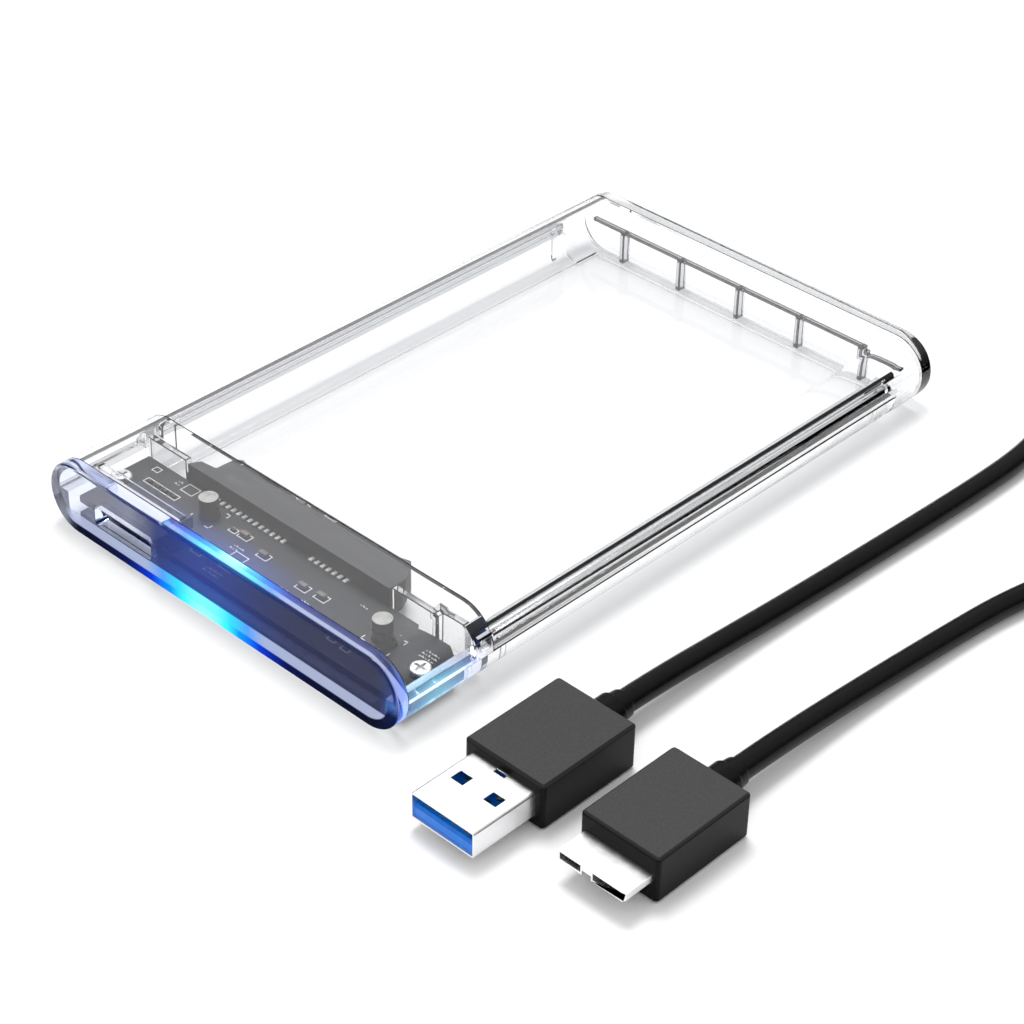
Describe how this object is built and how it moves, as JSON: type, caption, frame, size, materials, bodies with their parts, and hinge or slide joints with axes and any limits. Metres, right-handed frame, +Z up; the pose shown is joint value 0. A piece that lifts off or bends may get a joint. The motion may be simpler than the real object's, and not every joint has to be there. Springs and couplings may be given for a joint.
{
  "type": "hard disk drive enclosure",
  "caption": "Clear plastic case for a 2.5-inch disk drive, with a cover that slides off, a bridge board that joins the drive's plug to a data port, and a short black data lead.",
  "frame": {"origin": "middle of the enclosure's flat underside, on the surface it stands on, leaving out the loose lead", "axes": "+Y from the port end to the rear of the enclosure, +Z up, +X to the right seen from the port end"},
  "size_m": [0.142, 0.1928, 0.0125],
  "materials": {
    "clear_shell": "clear polished polycarbonate, moulded",
    "light_panel": "clear polished polycarbonate, edge lit in blue",
    "board": "dark grey solder mask with white printed outlines",
    "screw_steel": "bright nickel plate",
    "socket_plastic": "moulded, fine matte",
    "contact_gold": "thin gold plate",
    "port_steel": "pressed and plated sheet",
    "port_plastic": "moulded",
    "chip_black": "moulded epoxy",
    "crystal_can": "plated can",
    "inductor_grey": "pressed ferrite",
    "capacitor_tan": "fired ceramic with tinned ends",
    "resistor_black": "glazed ceramic with tinned ends",
    "led_lens": "clear lens, lit blue",
    "mould_black": "soft moulded, satin",
    "plug_steel": "bright nickel plate",
    "plug_blue": "moulded",
    "plug_black": "moulded",
    "cord_black": "glossy extruded jacket"
  },
  "bodies": {
    "enclosure_base": {"base_tray": "clear_shell", "front_hood": "clear_shell", "front_light_panel": "light_panel", "light_guide": "light_panel", "partition_wall": "clear_shell", "locating_pegs": "clear_shell", "bridge_board": "board", "board_screws": "screw_steel", "drive_socket_housing": "socket_plastic", "drive_socket_contacts": "contact_gold", "port_shell": "port_steel", "port_tongue": "port_plastic", "port_contacts": "contact_gold", "bridge_chip": "chip_black", "flash_chip": "chip_black", "crystal": "crystal_can", "power_inductor": "inductor_grey", "ceramic_capacitors": "capacitor_tan", "chip_resistors": "resistor_black", "status_led": "led_lens"},
    "cover": {"sliding_cover": "clear_shell", "rear_end_plate": "clear_shell", "drive_stop_ribs": "clear_shell"},
    "lead": {"usb_a_overmould": "mould_black", "usb_a_shell": "plug_steel", "usb_a_insulator": "plug_blue", "usb_a_contacts": "contact_gold", "usb_a_strain_relief": "mould_black", "micro_b_overmould": "mould_black", "micro_b_shell": "plug_steel", "micro_b_insulators": "plug_black", "micro_b_contacts": "contact_gold", "micro_b_strain_relief": "mould_black", "cord_a_tube": "cord_black", "cord_b_tube": "cord_black", "cord_coil": "cord_black"}
  },
  "joints": [
    {"name": "cover_slide", "type": "slide", "parent": "enclosure_base", "child": "cover", "axis": [0, 1, 0], "range_m": [0, 0.1]},
    {"name": "lead_lift", "type": "slide", "parent": "enclosure_base", "child": "lead", "axis": [0, 0, 1], "range_m": [0, 0.05]}
  ]
}
